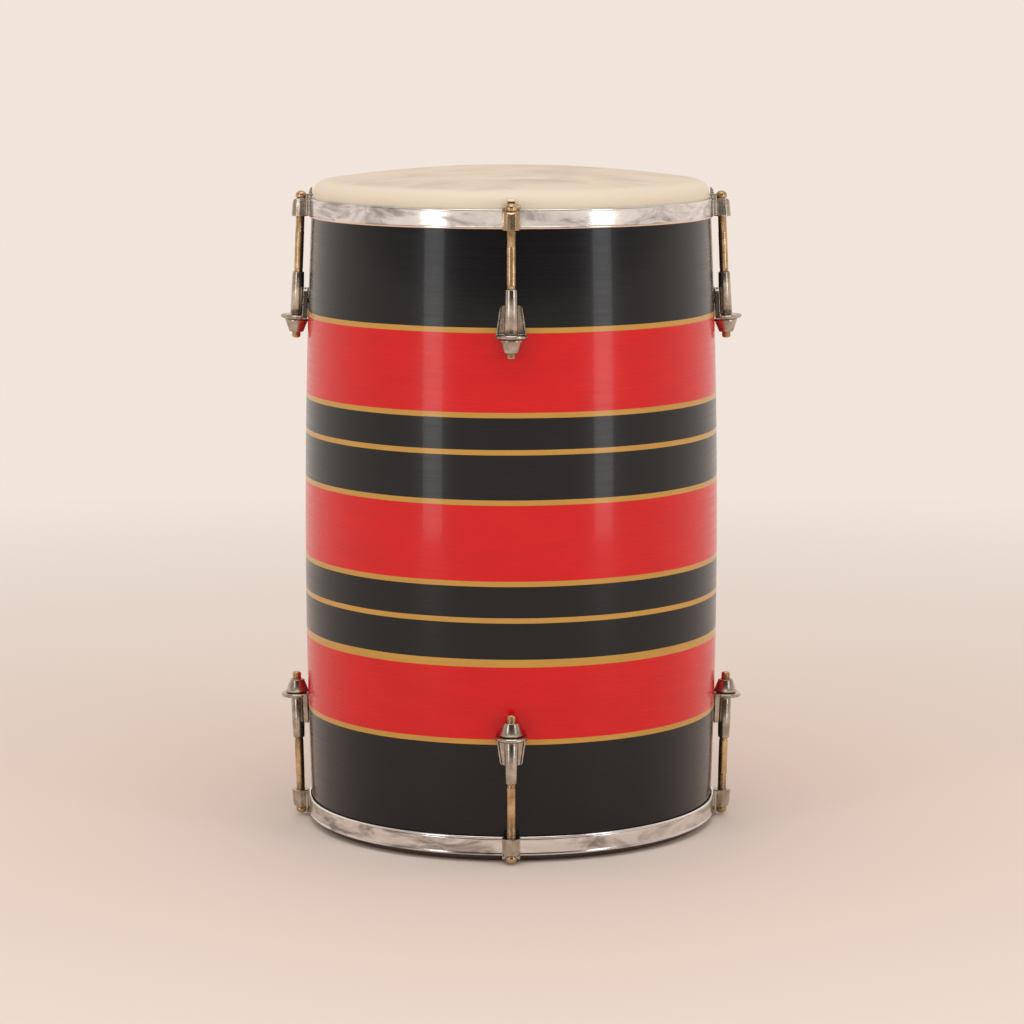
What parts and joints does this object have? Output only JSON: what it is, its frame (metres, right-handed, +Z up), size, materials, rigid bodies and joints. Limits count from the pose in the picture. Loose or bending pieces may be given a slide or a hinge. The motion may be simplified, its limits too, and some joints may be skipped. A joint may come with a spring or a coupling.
{
  "type": "dholak",
  "caption": "Upright barrel hand drum with a skin head at each end, flat-band hoops, claw hooks and rod lugs with conical tuning nuts.",
  "frame": {"origin": "centre of the lower skin's flat face, which the drum stands on, at the bottom centre of the bounding box", "axes": "+Z up along the drum's axis, from the lower head to the upper head; -Y towards the lug at the front"},
  "size_m": [0.3154, 0.3154, 0.4457],
  "materials": {
    "shell": "gloss lacquer over wood, painted in black and red bands with thin gold lines",
    "upper_skin": "natural cream hide, stretched and faintly mottled",
    "lower_skin": "natural hide, a little thicker and darker",
    "hoop": "bright plated steel with beaded edges",
    "flesh_ring": "plain flat steel strip",
    "claw": "aged warm nickel plate",
    "tension_rod": "worn brass, finely threaded near the claw",
    "bracket": "aged warm nickel plate",
    "sleeve": "aged warm nickel plate",
    "tuning_nut": "aged warm nickel plate",
    "bracket_screw": "plain steel"
  },
  "bodies": {
    "shell_body": {"shell": "shell", "top_skin": "upper_skin", "bottom_skin": "lower_skin", "top_bracket_1": "bracket", "top_sleeve_1": "sleeve", "top_bracket_screw_1": "bracket_screw", "top_bracket_2": "bracket", "top_sleeve_2": "sleeve", "top_bracket_screw_2": "bracket_screw", "top_bracket_3": "bracket", "top_sleeve_3": "sleeve", "top_bracket_screw_3": "bracket_screw", "top_bracket_4": "bracket", "top_sleeve_4": "sleeve", "top_bracket_screw_4": "bracket_screw", "bottom_bracket_1": "bracket", "bottom_sleeve_1": "sleeve", "bottom_bracket_screw_1": "bracket_screw", "bottom_bracket_2": "bracket", "bottom_sleeve_2": "sleeve", "bottom_bracket_screw_2": "bracket_screw", "bottom_bracket_3": "bracket", "bottom_sleeve_3": "sleeve", "bottom_bracket_screw_3": "bracket_screw", "bottom_bracket_4": "bracket", "bottom_sleeve_4": "sleeve", "bottom_bracket_screw_4": "bracket_screw"},
    "top_head": {"top_hoop": "hoop", "top_flesh_ring": "flesh_ring", "top_claw_1": "claw", "top_tension_rod_1": "tension_rod", "top_claw_2": "claw", "top_tension_rod_2": "tension_rod", "top_claw_3": "claw", "top_tension_rod_3": "tension_rod", "top_claw_4": "claw", "top_tension_rod_4": "tension_rod"},
    "bottom_head": {"bottom_hoop": "hoop", "bottom_flesh_ring": "flesh_ring", "bottom_claw_1": "claw", "bottom_tension_rod_1": "tension_rod", "bottom_claw_2": "claw", "bottom_tension_rod_2": "tension_rod", "bottom_claw_3": "claw", "bottom_tension_rod_3": "tension_rod", "bottom_claw_4": "claw", "bottom_tension_rod_4": "tension_rod"},
    "top_nut_1": {"top_tuning_nut_1": "tuning_nut"},
    "top_nut_2": {"top_tuning_nut_2": "tuning_nut"},
    "top_nut_3": {"top_tuning_nut_3": "tuning_nut"},
    "top_nut_4": {"top_tuning_nut_4": "tuning_nut"},
    "bottom_nut_1": {"bottom_tuning_nut_1": "tuning_nut"},
    "bottom_nut_2": {"bottom_tuning_nut_2": "tuning_nut"},
    "bottom_nut_3": {"bottom_tuning_nut_3": "tuning_nut"},
    "bottom_nut_4": {"bottom_tuning_nut_4": "tuning_nut"}
  },
  "joints": [
    {"name": "top_head_tension", "type": "slide", "parent": "shell_body", "child": "top_head", "axis": [0, 0, -1], "range_m": [-0.001, 0.0025]},
    {"name": "bottom_head_tension", "type": "slide", "parent": "shell_body", "child": "bottom_head", "axis": [0, 0, 1], "range_m": [-0.001, 0.0025]},
    {"name": "top_nut_1_turn", "type": "hinge", "parent": "shell_body", "child": "top_nut_1", "pos_m": [0, -0.14495, 0.3433], "axis": [0, 0.0433, 0.9991], "range_deg": [-365, 905]},
    {"name": "top_nut_2_turn", "type": "hinge", "parent": "shell_body", "child": "top_nut_2", "pos_m": [0.14495, 0, 0.3433], "axis": [-0.0433, 0, 0.9991], "range_deg": [-365, 905]},
    {"name": "top_nut_3_turn", "type": "hinge", "parent": "shell_body", "child": "top_nut_3", "pos_m": [0, 0.14495, 0.3433], "axis": [0, -0.0433, 0.9991], "range_deg": [-365, 905]},
    {"name": "top_nut_4_turn", "type": "hinge", "parent": "shell_body", "child": "top_nut_4", "pos_m": [-0.14495, 0, 0.3433], "axis": [0.0433, 0, 0.9991], "range_deg": [-365, 905]},
    {"name": "bottom_nut_1_turn", "type": "hinge", "parent": "shell_body", "child": "bottom_nut_1", "pos_m": [0, -0.14675, 0.086], "axis": [0, 0.025, -0.9997], "range_deg": [-365, 905]},
    {"name": "bottom_nut_2_turn", "type": "hinge", "parent": "shell_body", "child": "bottom_nut_2", "pos_m": [0.14675, 0, 0.086], "axis": [-0.025, 0, -0.9997], "range_deg": [-365, 905]},
    {"name": "bottom_nut_3_turn", "type": "hinge", "parent": "shell_body", "child": "bottom_nut_3", "pos_m": [0, 0.14675, 0.086], "axis": [0, -0.025, -0.9997], "range_deg": [-365, 905]},
    {"name": "bottom_nut_4_turn", "type": "hinge", "parent": "shell_body", "child": "bottom_nut_4", "pos_m": [-0.14675, 0, 0.086], "axis": [0.025, 0, -0.9997], "range_deg": [-365, 905]}
  ],
  "couplings": [
    {"joint": "top_nut_1_turn", "follows": "top_head_tension", "rad_per_m": 6283.2},
    {"joint": "top_nut_2_turn", "follows": "top_head_tension", "rad_per_m": 6283.2},
    {"joint": "top_nut_3_turn", "follows": "top_head_tension", "rad_per_m": 6283.2},
    {"joint": "top_nut_4_turn", "follows": "top_head_tension", "rad_per_m": 6283.2},
    {"joint": "bottom_nut_1_turn", "follows": "bottom_head_tension", "rad_per_m": 6283.2},
    {"joint": "bottom_nut_2_turn", "follows": "bottom_head_tension", "rad_per_m": 6283.2},
    {"joint": "bottom_nut_3_turn", "follows": "bottom_head_tension", "rad_per_m": 6283.2},
    {"joint": "bottom_nut_4_turn", "follows": "bottom_head_tension", "rad_per_m": 6283.2}
  ]
}
